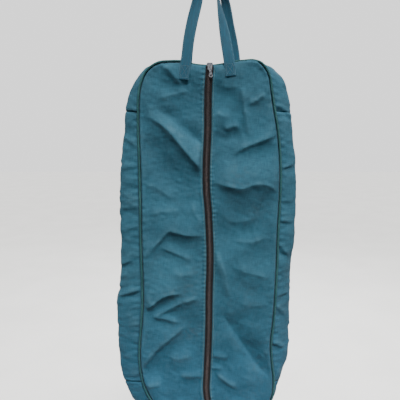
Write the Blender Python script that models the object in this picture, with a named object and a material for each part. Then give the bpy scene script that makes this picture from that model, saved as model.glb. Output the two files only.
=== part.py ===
"""A long, soft hanging bag of woven cloth, with a zip down its front and two strap handles.

Metres, +Z up. The front faces -Y and +X is on the right of someone who looks at the front.
The origin is the point on which both handle loops hang: the underside of their highest point.
"""

import math

import bmesh
import bpy
from mathutils import Matrix, Vector

MM = 0.001

# Front and back panels
PANEL_WIDTH = 342 * MM
PANEL_HEIGHT = 912 * MM
CORNER_RADIUS = 82 * MM
HANDLE_RISE = 275 * MM  # from the top seam up to the origin
PANEL_FACE_Y = 23.5 * MM  # how far the outer face of each panel is from the middle plane
CLOTH = 1.0 * MM
GAP = 0.3 * MM  # between pieces that touch
CORNER_STEPS = 10

# Gusset, folded outwards at the sides and the bottom, and sagging inwards along the top
GUSSET_EDGE_Y = 19.0 * MM
GUSSET_EDGE_OUT = 1.0 * MM
FOLD_SIDE = 48 * MM
FOLD_BOTTOM = 28 * MM
FOLD_TOP = -12 * MM
FOLD_BLEND = 110 * MM  # height over which the side fold fades into the top and bottom ones
JOIN_FROM_TOP = 120 * MM  # the cross seams of the gusset
JOIN_FROM_BOTTOM = 102 * MM

# The back panel leans in near the top, so that the handle ends lie inside its flat face
LEAN_DEPTH = 6 * MM
LEAN_BELOW_SEAM = 50 * MM  # down to here it keeps its full depth, and it ends with the corners

# Seams
PIPING_RADIUS = 2.3 * MM
PIPING_OUT = 3.2 * MM
PIPING_Y = 21.2 * MM
BINDING_FAR = 4.0 * MM
BINDING_NEAR = 2.4 * MM
BINDING_Y = (14.5 * MM, 19.0 * MM)

# Handles
STRAP_WIDTH = 25.4 * MM
STRAP_THICK = 2.4 * MM
SEWN_END_X = 57 * MM
SEAM_CROSSING_X = 50 * MM
SEWN_LENGTH = 41 * MM
NAIL_RADIUS = 4 * MM
LOOP_INNER_Y = 2.5 * MM  # from the middle plane to the nearer edge of each loop at the top
PATCH = (32 * MM, 39 * MM)
PATCH_TOP = 8 * MM  # below the top seam
STITCH_BOX = (19 * MM, 31 * MM)
STITCH_MARGIN = 3 * MM
STITCH_OPENING = 0.7  # size of the four fields between the lines of thread
STITCH_THICK = 0.4 * MM

# Zip
ZIP_EDGE_X = 9.5 * MM  # the folded edge of each panel half
TAPE_X = (0.6 * MM, 18.5 * MM)
TAPE_THICK = 0.8 * MM
COIL_X = (0.2 * MM, 3.8 * MM)
COIL_HEIGHT = 2.3 * MM
ZIP_END_GAP = 0.5 * MM
STOP_HEIGHT = 2.4 * MM
BOTTOM_STOP = (8.0 * MM, 6.0 * MM)
BOTTOM_STOP_FROM_SEAM = 5.2 * MM

# Slider, measured from its own centre
SLIDER_BELOW_SEAM = 12.0 * MM
SLIDER_HALF = 8.0 * MM
PLATE_THICK = 1.2 * MM
PART_START = -3.0 * MM  # where the two coils begin to part inside the slider
PART_SLOPE = 0.26
BAIL_WIDTH = 2.4 * MM
BAIL_HALF = 4.9 * MM
BAIL_BAR = 1.2 * MM
BAIL_ROOM = 2.7 * MM

# Pull tab
TAB_THICK = 1.5 * MM
TAB_LENGTH = 26 * MM
TAB_WIDTH = 9.0 * MM
TAB_WINDOW = (3.2 * MM, 5.75 * MM)
TAB_HOLE_RADIUS = 2.1 * MM

# Worked out from the dimensions above
TOP_Z = -HANDLE_RISE
BOTTOM_Z = TOP_Z - PANEL_HEIGHT
HALF_WIDTH = PANEL_WIDTH / 2
LEAN_START_Z = TOP_Z - CORNER_RADIUS
LEAN_END_Z = TOP_Z - LEAN_BELOW_SEAM
TAPE_FACE_Y = -(PANEL_FACE_Y - CLOTH - GAP)
TAPE_BACK_Y = TAPE_FACE_Y + TAPE_THICK
COIL_BACK_Y = TAPE_FACE_Y - GAP
COIL_FACE_Y = COIL_BACK_Y - COIL_HEIGHT
SLIDER_Z = TOP_Z - SLIDER_BELOW_SEAM
SLIDER_FACE_Y = COIL_FACE_Y - GAP - PLATE_THICK
TAB_AXIS_Y = SLIDER_FACE_Y - BAIL_ROOM / 2

CLOTH_TEAL = (0.040, 0.127, 0.180)
STRAP_TEAL = (0.036, 0.120, 0.190)
PIPING_GREEN = (0.008, 0.050, 0.060)
BINDING_GREEN = (0.020, 0.070, 0.085)
TAPE_BROWN = (0.022, 0.016, 0.019)
COIL_BROWN = (0.045, 0.030, 0.032)
THREAD_TEAL = (0.060, 0.150, 0.180)
STEEL = (0.62, 0.63, 0.65)


def clear_scene():
    for thing in list(bpy.data.objects):
        bpy.data.objects.remove(thing, do_unlink=True)


def give_material(thing, color, roughness=0.9, metallic=0.0):
    material = bpy.data.materials.new(thing.name)
    material.use_nodes = True
    shader = material.node_tree.nodes["Principled BSDF"]
    shader.inputs["Base Color"].default_value = (*color, 1.0)
    shader.inputs["Roughness"].default_value = roughness
    shader.inputs["Metallic"].default_value = metallic
    material.diffuse_color = (*color, 1.0)
    thing.data.materials.append(material)


def object_from(name, bm):
    bmesh.ops.recalc_face_normals(bm, faces=bm.faces[:])
    mesh = bpy.data.meshes.new(name)
    bm.to_mesh(mesh)
    bm.free()
    thing = bpy.data.objects.new(name, mesh)
    bpy.context.collection.objects.link(thing)
    return thing


def loft(name, rings, closed=False):
    """A solid through cross-sections, each a list of the same number of points."""
    bm = bmesh.new()
    rows = [[bm.verts.new(point) for point in ring] for ring in rings]
    pairs = list(zip(rows, rows[1:]))
    if closed:
        pairs.append((rows[-1], rows[0]))
    count = len(rows[0])
    for row, after in pairs:
        for i in range(count):
            j = (i + 1) % count
            bm.faces.new((row[i], row[j], after[j], after[i]))
    if not closed:
        bm.faces.new(rows[0])
        bm.faces.new(list(reversed(rows[-1])))
    return object_from(name, bm)


def slab(name, outline, y_low, y_high):
    """An outline of (x, z) points, extruded along Y."""
    bm = bmesh.new()
    face = bm.faces.new([bm.verts.new((x, y_low, z)) for x, z in outline])
    moved = bmesh.ops.extrude_face_region(bm, geom=[face])
    verts = [v for v in moved["geom"] if isinstance(v, bmesh.types.BMVert)]
    bmesh.ops.translate(bm, vec=(0, y_high - y_low, 0), verts=verts)
    return object_from(name, bm)


def box(name, low, high):
    bm = bmesh.new()
    size = Vector(high) - Vector(low)
    place = Matrix.Translation((Vector(low) + Vector(high)) / 2)
    bmesh.ops.create_cube(bm, size=1.0, matrix=place @ Matrix.Diagonal((*size, 1.0)))
    return object_from(name, bm)


def combine(thing, others, operation):
    """Join the others to a piece, or cut them from it."""
    for other in others:
        other.hide_render = True
        other.display_type = "WIRE"
        modifier = thing.modifiers.new(other.name, "BOOLEAN")
        modifier.operation = operation
        modifier.solver = "EXACT"
        modifier.object = other


def smooth(share):
    share = min(max(share, 0.0), 1.0)
    return share * share * (3 - 2 * share)


def right_seam(out=0.0):
    """The right half of the panels' outline, moved outwards, from the top middle to the bottom middle.

    Each entry is (x, z, outward normal).
    """
    stations = [(0.0, TOP_Z + out, (0.0, 1.0))]
    for centre_z, start in ((TOP_Z - CORNER_RADIUS, 90), (BOTTOM_Z + CORNER_RADIUS, 0)):
        for step in range(CORNER_STEPS + 1):
            angle = math.radians(start - 90 * step / CORNER_STEPS)
            normal = (math.cos(angle), math.sin(angle))
            x = HALF_WIDTH - CORNER_RADIUS + (CORNER_RADIUS + out) * normal[0]
            stations.append((x, centre_z + (CORNER_RADIUS + out) * normal[1], normal))
    stations.append((0.0, BOTTOM_Z - out, (0.0, -1.0)))
    return stations


def whole_seam(out=0.0):
    right = right_seam(out)
    left = [(-x, z, (-nx, nz)) for x, z, (nx, nz) in reversed(right[1:-1])]
    return right + left


def lean(z):
    """How far the back is drawn in at height z."""
    share = (z - LEAN_START_Z) / (LEAN_END_Z - LEAN_START_Z)
    return LEAN_DEPTH * min(max(share, 0.0), 1.0)


def side_y(side, y, z):
    """A distance from the middle plane as a place, for the front (-1) or the back (+1)."""
    return -y if side < 0 else y - lean(z)


def front_panel(name, side):
    outline = [(side * x, z) for x, z, _ in right_seam()[1:-1]]
    top, bottom = (side * ZIP_EDGE_X, TOP_Z), (side * ZIP_EDGE_X, BOTTOM_Z)
    panel = slab(name, [top, *outline, bottom], -PANEL_FACE_Y, -PANEL_FACE_Y + CLOTH)
    give_material(panel, CLOTH_TEAL)


def back_panel():
    bm = bmesh.new()
    bm.faces.new([bm.verts.new((x, 0, z)) for x, z, _ in whole_seam()])
    for level in (LEAN_START_Z, LEAN_END_Z):
        geometry = bm.verts[:] + bm.edges[:] + bm.faces[:]
        bmesh.ops.bisect_plane(bm, geom=geometry, plane_co=(0, 0, level), plane_no=(0, 0, 1))
    for vert in bm.verts:
        vert.co.y = side_y(1, PANEL_FACE_Y - CLOTH, vert.co.z)
    moved = bmesh.ops.extrude_face_region(bm, geom=bm.faces[:])
    verts = [v for v in moved["geom"] if isinstance(v, bmesh.types.BMVert)]
    bmesh.ops.translate(bm, vec=(0, CLOTH, 0), verts=verts)
    give_material(object_from("back_panel", bm), CLOTH_TEAL)


def fold_depth(z):
    """How far the middle of the gusset stands out from its edges at height z."""
    if z > (TOP_Z + BOTTOM_Z) / 2:
        return FOLD_TOP + (FOLD_SIDE - FOLD_TOP) * smooth((TOP_Z - z) / FOLD_BLEND)
    return FOLD_BOTTOM + (FOLD_SIDE - FOLD_BOTTOM) * smooth((z - BOTTOM_Z) / FOLD_BLEND)


def gusset_ring(station):
    """The folded cross-section of the gusset, as a thin closed outline."""
    x, z, (nx, nz) = station
    depth = fold_depth(z)
    power = 1 if depth > 0 else 2
    outer, inner = [], []
    for share in (-1.0, -0.7, -0.4, 0.0, 0.4, 0.7, 1.0):
        y = side_y(math.copysign(1, share), GUSSET_EDGE_Y, z) * abs(share)
        out = GUSSET_EDGE_OUT + depth * (1 - abs(share)) ** power
        thick = CLOTH * math.hypot(1.0, depth / GUSSET_EDGE_Y)
        outer.append(Vector((x + nx * out, y, z + nz * out)))
        inner.append(Vector((x + nx * (out - thick), y, z + nz * (out - thick))))
    return outer + inner[::-1]


def side_station(side, z):
    return (side * HALF_WIDTH, z, (float(side), 0.0))


def gusset():
    """Four strips, which meet at cross seams on the sides."""
    upper, lower = TOP_Z - JOIN_FROM_TOP, BOTTOM_Z + JOIN_FROM_BOTTOM
    right = right_seam()
    arcs = CORNER_STEPS + 1
    for name, corner, end in (
        ("gusset_top", right[: arcs + 1], upper + GAP / 2),
        ("gusset_bottom", right[arcs + 1 :][::-1], lower - GAP / 2),
    ):
        half = [*corner, side_station(1, end)]
        mirrored = [(-x, z, (-nx, nz)) for x, z, (nx, nz) in half[1:]]
        stations = mirrored[::-1] + half
        give_material(loft(name, [gusset_ring(s) for s in stations]), CLOTH_TEAL)
    for name, side in (("gusset_left", -1), ("gusset_right", 1)):
        heights = (upper - GAP / 2, lower + GAP / 2)
        strip = loft(name, [gusset_ring(side_station(side, z)) for z in heights])
        give_material(strip, CLOTH_TEAL)


def piping(name, side):
    rings = []
    for x, z, (nx, nz) in whole_seam(PIPING_OUT):
        centre = Vector((x, side_y(side, PIPING_Y, z), z))
        ring = []
        for step in range(8):
            angle = 2 * math.pi * step / 8
            out, along = math.cos(angle) * PIPING_RADIUS, math.sin(angle) * PIPING_RADIUS
            ring.append(centre + Vector((nx * out, along, nz * out)))
        rings.append(ring)
    give_material(loft(name, rings, closed=True), PIPING_GREEN, 0.7)


def seam_binding(name, side):
    near, far = whole_seam(-BINDING_NEAR), whole_seam(-BINDING_FAR)
    rings = []
    for (x, z, _), (far_x, far_z, _) in zip(near, far):
        low, high = (side_y(side, y, z) for y in BINDING_Y)
        rings.append([(x, low, z), (x, high, z), (far_x, high, far_z), (far_x, low, far_z)])
    give_material(loft(name, rings, closed=True), BINDING_GREEN)


def parting(z):
    """How far each half of the zip has moved aside at height z, with the slider at the top."""
    return max(0.0, (z - SLIDER_Z - PART_START) * PART_SLOPE)


def zip_half(suffix, side):
    """One tape and its coil, which part above the slider."""
    heights = (BOTTOM_Z + ZIP_END_GAP, SLIDER_Z + PART_START, TOP_Z - ZIP_END_GAP)
    rings = []
    for z in heights:
        near, far = side * (TAPE_X[0] + parting(z)), side * TAPE_X[1]
        rings.append([(near, TAPE_FACE_Y, z), (far, TAPE_FACE_Y, z),
                      (far, TAPE_BACK_Y, z), (near, TAPE_BACK_Y, z)])
    give_material(loft(f"zipper_tape_{suffix}", rings), TAPE_BROWN)

    heights = (BOTTOM_Z + BOTTOM_STOP_FROM_SEAM + BOTTOM_STOP[1] + GAP,
               SLIDER_Z + PART_START, SLIDER_Z + SLIDER_HALF + GAP)
    rings = []
    for z in heights:
        near, far = (side * (x + parting(z)) for x in COIL_X)
        rings.append([(near, COIL_FACE_Y, z), (far, COIL_FACE_Y, z),
                      (far, COIL_BACK_Y, z), (near, COIL_BACK_Y, z)])
    give_material(loft(f"zipper_coil_{suffix}", rings), COIL_BROWN, 0.45)

    low_z = heights[-1] + GAP
    near, far = (side * (x + parting(low_z)) for x in COIL_X)
    low = (min(near, far), COIL_FACE_Y, low_z)
    high = (max(near, far), COIL_BACK_Y, low_z + STOP_HEIGHT)
    give_material(box(f"zipper_top_stop_{suffix}", low, high), STEEL, 0.35, 1.0)


def bottom_stop():
    low_z = BOTTOM_Z + BOTTOM_STOP_FROM_SEAM
    half = BOTTOM_STOP[0] / 2
    stop = box("zipper_bottom_stop", (-half, COIL_FACE_Y, low_z),
               (half, COIL_BACK_Y, low_z + BOTTOM_STOP[1]))
    give_material(stop, STEEL, 0.35, 1.0)


def slider_body():
    """Two plates joined by a post at the wide end, side flanges, and a bail on the front."""
    tail_x, nose_x = 5.2 * MM, 6.9 * MM
    flange_top = 4.0 * MM
    right = [(tail_x, -SLIDER_HALF), (tail_x, PART_START), (nose_x, flange_top),
             (nose_x, SLIDER_HALF - 1.5 * MM), (nose_x - 2 * MM, SLIDER_HALF)]
    outline = right + [(-x, z) for x, z in reversed(right)]
    outline = [(x, z + SLIDER_Z) for x, z in outline]
    plate_back = SLIDER_FACE_Y + PLATE_THICK
    rear_face = TAPE_BACK_Y + GAP
    body = slab("slider_body", outline, SLIDER_FACE_Y, plate_back)

    bite = 0.2 * MM  # how far joined shapes reach into each other
    rear = slab("slider_rear_plate", outline, rear_face, rear_face + PLATE_THICK)
    post_outline = [(0, 2.5), (1.3, 4.2), (1.3, 7.0), (-1.3, 7.0), (-1.3, 4.2)]
    post_outline = [(x * MM, z * MM + SLIDER_Z) for x, z in post_outline]
    post = slab("slider_post", post_outline, plate_back - bite, rear_face + bite)
    parts = [post, rear]
    inner_x = COIL_X[1] + 0.35 * MM
    for side in (-1, 1):
        inner_top = inner_x + (flange_top - PART_START) * PART_SLOPE
        flange = [(tail_x - 0.1 * MM, -SLIDER_HALF + bite), (tail_x - 0.1 * MM, PART_START),
                  (nose_x - 0.1 * MM, flange_top), (inner_top, flange_top),
                  (inner_x, PART_START), (inner_x, -SLIDER_HALF + bite)]
        flange = [(side * x, z + SLIDER_Z) for x, z in flange]
        name = f"slider_flange_{'left' if side < 0 else 'right'}"
        parts.append(slab(name, flange, plate_back - bite, COIL_BACK_Y))
    parts.append(bail(SLIDER_FACE_Y + bite))
    combine(body, parts, "UNION")
    give_material(body, STEEL, 0.3, 1.0)


def bail(foot_y):
    """The arch on the slider's front, which the pull tab's bar passes under."""
    inner = BAIL_HALF - BAIL_BAR
    room_y = SLIDER_FACE_Y - BAIL_ROOM
    top_y = room_y - BAIL_BAR
    bevel = 1.0 * MM
    outline = [(foot_y, -BAIL_HALF), (top_y + bevel, -BAIL_HALF), (top_y, -BAIL_HALF + bevel),
               (top_y, BAIL_HALF - bevel), (top_y + bevel, BAIL_HALF), (foot_y, BAIL_HALF),
               (foot_y, inner), (room_y, inner), (room_y, -inner), (foot_y, -inner)]
    rings = [[(x, y, z + SLIDER_Z) for y, z in outline] for x in (-BAIL_WIDTH / 2, BAIL_WIDTH / 2)]
    return loft("slider_bail", rings)


def pull_tab():
    """A plate with a window for the bail and a round hole near its free end, on its joint's axis."""
    bar = TAB_THICK / 2
    half, neck = TAB_WIDTH / 2, 2.6 * MM
    window_bottom = -bar - TAB_WINDOW[1]
    right = [(half - 0.8 * MM, bar), (half, bar - 0.8 * MM), (half, window_bottom),
             (neck, window_bottom - 3 * MM), (neck, -14 * MM)]
    centre_z = bar - TAB_LENGTH + half
    for step in range(9):
        angle = math.radians(30 - 120 * step / 8)
        right.append((half * math.cos(angle), centre_z + half * math.sin(angle)))
    outline = right + [(-x, z) for x, z in reversed(right[:-1])]
    tab = slab("pull_tab", outline, -TAB_THICK / 2, TAB_THICK / 2)
    window = box("pull_tab_window", (-TAB_WINDOW[0] / 2, -TAB_THICK, window_bottom),
                 (TAB_WINDOW[0] / 2, TAB_THICK, -bar))
    circle = [math.radians(30 * step) for step in range(12)]
    hole_outline = [(TAB_HOLE_RADIUS * math.cos(a), centre_z + TAB_HOLE_RADIUS * math.sin(a))
                    for a in circle]
    hole = slab("pull_tab_hole", hole_outline, -TAB_THICK, TAB_THICK)
    combine(tab, [window, hole], "DIFFERENCE")
    for thing in (tab, window, hole):
        thing.location = (0, TAB_AXIS_Y, SLIDER_Z)
    give_material(tab, STEEL, 0.3, 1.0)


def strap_face_y(side, z):
    """The middle of a strap that lies on the outer face of a panel."""
    return side_y(side, PANEL_FACE_Y, z) + side * (GAP + STRAP_THICK / 2)


def strap_stations(side):
    """The right half of a handle's middle line, from its sewn end to its top: point, width axis."""
    stations = []
    for x, z in ((SEWN_END_X, TOP_Z - SEWN_LENGTH), (SEAM_CROSSING_X, TOP_Z)):
        stations.append((Vector((x, strap_face_y(side, z), z)), Vector((1, 0, 0))))

    radius = NAIL_RADIUS + STRAP_THICK / 2
    nail_z = -NAIL_RADIUS
    start = Vector((SEAM_CROSSING_X, TOP_Z - nail_z))
    leaves = math.atan2(start.y, start.x) + math.acos(radius / start.length)
    top_y = side * (LOOP_INNER_Y + STRAP_WIDTH / 2)
    high = Vector((radius * math.cos(leaves), top_y, nail_z + radius * math.sin(leaves)))
    low = stations[-1][0]
    straight = (high - low).normalized()
    across = straight.cross(Vector((0, 1, 0))).normalized()
    across = across if across.x > 0 else -across
    steps = 14
    for step in range(1, steps + 1):
        share = step / steps
        turn = math.pi / 2 * smooth(share)
        width = across * math.cos(turn) + Vector((0, 1, 0)) * math.sin(turn)
        stations.append((low.lerp(high, share), width))
    for step in range(1, 6):
        angle = leaves + (math.pi / 2 - leaves) * step / 5
        point = Vector((radius * math.cos(angle), top_y, nail_z + radius * math.sin(angle)))
        stations.append((point, Vector((0, 1, 0))))
    return stations


def handle(name, side):
    right = strap_stations(side)
    left = [(Vector((-p.x, p.y, p.z)), Vector((-w.x, w.y, w.z))) for p, w in right]
    stations = left + right[-2::-1]
    rings = []
    for i, (point, width) in enumerate(stations):
        before, after = stations[max(i - 1, 0)][0], stations[min(i + 1, len(stations) - 1)][0]
        thick = (after - before).cross(width).normalized() * STRAP_THICK / 2
        half = width * STRAP_WIDTH / 2
        rings.append([point - half - thick, point + half - thick,
                      point + half + thick, point - half + thick])
    give_material(loft(name, rings), STRAP_TEAL)


def handle_patch(name, side, left_or_right):
    """A reinforcement inside the panel, behind a sewn handle end."""
    centre_x = left_or_right * SEWN_END_X
    high_z = TOP_Z - PATCH_TOP
    outer = side_y(side, PANEL_FACE_Y - CLOTH - GAP, high_z)
    inner = outer - side * CLOTH
    patch = box(name, (centre_x - PATCH[0] / 2, min(outer, inner), high_z - PATCH[1]),
                (centre_x + PATCH[0] / 2, max(outer, inner), high_z))
    give_material(patch, BINDING_GREEN)


def stitching(name, side, left_or_right):
    """A box of thread with a cross in it, on the outer face of a sewn handle end."""
    half_x, half_z = STITCH_BOX[0] / 2, STITCH_BOX[1] / 2
    corners = [(-half_x, -half_z), (half_x, -half_z), (half_x, half_z), (-half_x, half_z)]
    frame = slab(name, corners, -STITCH_THICK / 2, STITCH_THICK / 2)
    middle_z = TOP_Z - SEWN_LENGTH + STITCH_MARGIN + half_z
    share = (TOP_Z - middle_z) / SEWN_LENGTH
    middle_x = SEAM_CROSSING_X + (SEWN_END_X - SEAM_CROSSING_X) * share
    off_strap = STRAP_THICK / 2 + GAP + STITCH_THICK / 2
    place = (left_or_right * middle_x, strap_face_y(side, middle_z) + side * off_strap, middle_z)
    fields = []
    for i in range(4):
        triangle = [Vector(corners[i]), Vector(corners[(i + 1) % 4]), Vector((0, 0))]
        middle = sum(triangle, Vector((0, 0))) / 3
        shrunk = [middle + (point - middle) * STITCH_OPENING for point in triangle]
        fields.append(slab(f"{name}_field_{i}", shrunk, -STITCH_THICK, STITCH_THICK))
    combine(frame, fields, "DIFFERENCE")
    for thing in (frame, *fields):
        thing.location = place
    give_material(frame, THREAD_TEAL)


def main():
    clear_scene()
    back_panel()
    gusset()
    piping("back_piping", 1)
    piping("front_piping", -1)
    seam_binding("back_seam_binding", 1)
    seam_binding("front_seam_binding", -1)
    for suffix, side in (("left", -1), ("right", 1)):
        front_panel(f"front_panel_{suffix}", side)
        zip_half(suffix, side)
        handle_patch(f"front_handle_patch_{suffix}", -1, side)
        handle_patch(f"back_handle_patch_{suffix}", 1, side)
        stitching(f"front_handle_stitching_{suffix}", -1, side)
        stitching(f"back_handle_stitching_{suffix}", 1, side)
    bottom_stop()
    slider_body()
    pull_tab()
    handle("front_handle", -1)
    handle("back_handle", 1)


main()
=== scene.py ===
"""A long, soft hanging bag of teal cloth: its cloth, seams, zip, straps and setting.

Lengths are in metres, except where a comment says mm. X points right and Z up, the bag's front
faces -Y, and the nail that it hangs on is at the origin.
"""

import math

import bpy
import numpy as np
from mathutils import Matrix, Vector


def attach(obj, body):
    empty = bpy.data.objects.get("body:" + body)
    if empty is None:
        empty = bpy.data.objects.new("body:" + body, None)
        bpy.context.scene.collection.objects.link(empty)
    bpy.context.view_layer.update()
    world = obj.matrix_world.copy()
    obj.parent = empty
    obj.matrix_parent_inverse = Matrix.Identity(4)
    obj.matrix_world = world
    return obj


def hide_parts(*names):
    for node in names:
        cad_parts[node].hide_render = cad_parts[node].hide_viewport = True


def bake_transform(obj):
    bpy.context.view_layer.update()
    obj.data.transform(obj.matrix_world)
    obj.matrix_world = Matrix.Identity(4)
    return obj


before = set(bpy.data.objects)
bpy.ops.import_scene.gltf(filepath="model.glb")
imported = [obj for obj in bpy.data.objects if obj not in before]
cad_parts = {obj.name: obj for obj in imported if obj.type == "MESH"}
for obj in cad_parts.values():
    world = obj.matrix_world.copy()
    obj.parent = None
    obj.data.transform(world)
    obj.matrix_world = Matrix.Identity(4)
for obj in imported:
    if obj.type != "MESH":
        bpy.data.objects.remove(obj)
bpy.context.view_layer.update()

# ---------------------------------------------------------------- sizes

MM = 0.001
TAU = math.tau
SIGN = {"left": -1, "right": 1}
TOP_Z = -0.275            # where the panels' top edge is
FACE_Y = -0.0235          # front panel, outer face at its edges
BACK_Y = 0.0232           # back panel, outer face
CLOTH = 0.9 * MM          # thickness of the cloth
PANEL_INSET = 2.3 * MM    # from the seam line to the visible edge of a panel
ZIP_HALF = 9.5 * MM       # from the zip's middle to the folded edge of each panel half
TAPE_Y = -0.0222
COIL_Y = -0.0236
COIL_PITCH = 1.6 * MM
SLIDER_Z = -0.287
STRAP_WIDTH = 25.4 * MM
STRAP_THICK = 2.2 * MM
JOIN_UPPER = -0.389       # cross seams of the gusset's sides
JOIN_LOWER = -1.085
GUSSET_FRONT_Y = -0.0186  # the gusset's edges
GUSSET_BACK_Y = 0.0200
TAPE_BOTTOM = -1.1835
COIL_BOTTOM = -1.1755
TALL_FOLD = 14 * MM       # folds stand out less and less beyond this height
STATIONS = 840            # samples round the seam
ROUGH_GRID = (188, 36)    # rows and columns of a front half before and after its folds settle
FINE_GRID = (400, 76)
SETTLING_FRAMES = 18

# The front seam and the fold of the gusset outside it: seam x, z and fold x, z, in mm.
SEAM = [
    (0, -283, 0, -294), (-30, -281, -30, -292), (-57, -276, -58, -287), (-90, -275, -92, -281),
    (-119, -278, -123, -276), (-147, -297, -156, -293), (-161, -327, -181, -325),
    (-167, -362, -194, -357), (-168.5, -398, -201, -395), (-169, -431, -204.5, -431),
    (-168, -502, -214, -503), (-168, -599, -219, -599), (-169, -724, -221, -724),
    (-168, -802, -225, -806), (-168, -855, -234.5, -856), (-174, -936, -236, -938),
    (-179, -991, -235.5, -985), (-176.5, -1061, -229, -1061), (-168, -1098, -218, -1103),
    (-152, -1133, -195, -1146), (-119, -1167, -146, -1187), (-80, -1183, -90, -1209),
    (0, -1187, 0, -1214), (70, -1186, 76, -1210), (115, -1178, 128, -1198), (148, -1161, 161, -1174),
    (166, -1133, 179, -1138), (171, -1098, 187, -1100), (170, -1067, 199, -1067),
    (165, -1030, 210, -1030), (161, -985, 214, -986), (166, -909, 212, -913), (169, -828, 211, -828),
    (170, -776, 211, -776), (170, -699, 215, -699), (172, -599, 216, -603), (172.5, -550, 214, -550),
    (168, -478, 208, -480), (162, -431, 202, -432), (153, -385, 195.5, -388), (145, -340, 189, -345),
    (139, -307, 176, -312), (127, -286, 148, -284), (111, -273, 117, -273), (75, -272, 78, -281),
    (40, -278, 40, -289),
]

# The middle line of the zip: z and x, in mm.
ZIP_LINE = [
    (-270, 0), (-290, -0.5), (-330, -3), (-385, -4), (-431, -4), (-478, -6), (-531, -7.5), (-574, -7),
    (-619, -3), (-674, 0), (-724, 2), (-776, 2), (-828, 0.5), (-909, 0), (-963, -1), (-1010, -2.5),
    (-1061, -4.5), (-1105, -6), (-1120, -4.8), (-1142, -1.2), (-1156, 0), (-1200, 0),
]

# ---------------------------------------------------------------- curves and fields

def smooth(x):
    x = np.clip(x, 0.0, 1.0)
    return x * x * (3.0 - 2.0 * x)


def bell(x):
    return np.exp(-(x**2))


def unit(vectors):
    return vectors / np.linalg.norm(vectors, axis=-1, keepdims=True)


def triple(x, y, z=0.0):
    """One array of vectors from the arrays of their parts."""
    return np.stack(np.broadcast_arrays(x, y, z), axis=-1)


def lengths(points):
    """Distance along a line at each of its points."""
    return np.concatenate([[0], np.cumsum(np.linalg.norm(np.diff(points, axis=0), axis=1))])


def hermite(knots, values, at):
    step = np.diff(knots)[:, None]
    slope = np.diff(values, axis=0) / step
    inner = (slope[:-1] * step[1:] + slope[1:] * step[:-1]) / (step[1:] + step[:-1])
    slopes = np.vstack([slope[:1], inner, slope[-1:]])
    k = np.clip(np.searchsorted(knots, at, side="right") - 1, 0, len(knots) - 2)
    h = (knots[k + 1] - knots[k])[:, None]
    s = (at[:, None] - knots[k][:, None]) / h
    return (
        (2 * s**3 - 3 * s**2 + 1) * values[k]
        + (s**3 - 2 * s**2 + s) * h * slopes[k]
        + (3 * s**2 - 2 * s**3) * values[k + 1]
        + (s**3 - s**2) * h * slopes[k + 1]
    )


def along(points, count, closed=False, dims=2):
    """Even samples of a smooth curve through the points; its first dims columns set the spacing."""
    p = np.array(points, float)
    if closed:
        p = np.vstack([p[-3:], p, p[:4]])
    knots = lengths(p[:, :dims])
    first, last = (knots[3], knots[-4]) if closed else (knots[0], knots[-1])
    fine = np.linspace(first, last, 40 * len(points))
    length = lengths(hermite(knots, p, fine)[:, :dims])
    wanted = np.linspace(0, length[-1], count + closed)[:count]
    return hermite(knots, p, np.interp(wanted, length, fine))


def level(table, z):
    """Value at each height z, from a table of heights and values in mm."""
    knots, values = np.array(sorted(table), float).T * MM
    z = np.asarray(z, float)
    return hermite(knots, values[:, None], np.clip(z.ravel(), knots[0], knots[-1])).reshape(z.shape)


def zip_x(z):
    return level(ZIP_LINE, z)


def beside_zip(x, z):
    """Distance from the folded edge of the panel half."""
    return np.abs(x - zip_x(z)) - ZIP_HALF


def ripples(x, z, size, seed, count=14):
    """Soft uneven waves of about the given size, between -1 and 1 or so."""
    rng = np.random.default_rng(seed)
    total = np.zeros_like(x)
    for _ in range(count):
        angle = rng.uniform(0, TAU)
        wave = TAU / (size * rng.uniform(0.7, 1.6))
        total += np.sin(wave * (x * math.cos(angle) + z * math.sin(angle)) + rng.uniform(0, TAU))
    return total / math.sqrt(count)


def folds(x, z, strokes):
    """Height of creases. A stroke is its points, its rise, its width on the left and on the right
    of its direction, and the depth and width of the dip beyond its right side, all in mm."""
    height, hollows = np.zeros_like(x), np.zeros_like(x)
    samples = 180
    for points, rise, left, right, dip, dip_width in strokes:
        line = along(np.array(points, float) * MM, samples)
        way = unit(np.gradient(line, axis=0))
        far = max(left, right, dip_width) * 4 * MM
        low, high = line.min(axis=0) - far, line.max(axis=0) + far
        near = (x > low[0]) & (x < high[0]) & (z > low[1]) & (z < high[1])
        dx = x[near][:, None] - line[:, 0]
        dz = z[near][:, None] - line[:, 1]
        k = np.argmin(dx**2 + dz**2, axis=1)
        rows = np.arange(len(k))
        dx, dz = dx[rows, k], dz[rows, k]
        off = (way[k, 0] * dz - way[k, 1] * dx) / MM
        beyond = np.abs(way[k, 0] * dx + way[k, 1] * dz) / MM
        t = k / (samples - 1)
        taper = smooth(t / 0.3) * smooth((1 - t) / 0.3) * bell(beyond / 6.0)
        fall = np.sqrt(off**2 + 2.0) - math.sqrt(2.0)
        under = 0.72 * np.exp(-fall / right) + 0.28 * np.exp(-fall / (0.25 * right))
        crest = np.where(off > 0, bell(off / left), under)
        hollow = bell((off + 1.3 * right + 0.5 * dip_width) / dip_width)
        height[near] += rise * crest * taper * MM
        hollows[near] += dip * hollow * taper * MM
    return height - blur(hollows, 6)


def blur(h, times):
    for _ in range(times):
        p = np.pad(h, 1, mode="edge")
        h = (p[:-2, 1:-1] + p[2:, 1:-1] + p[1:-1, :-2] + p[1:-1, 2:] + 4 * p[1:-1, 1:-1]) / 8
    return h


def curvature(height):
    """0 in flat cloth and hollows, up to 1 on ridges that rub."""
    h = blur(height, 2)
    return np.clip((h - blur(h, 60)) / (1.6 * MM), 0, 1)


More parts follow.
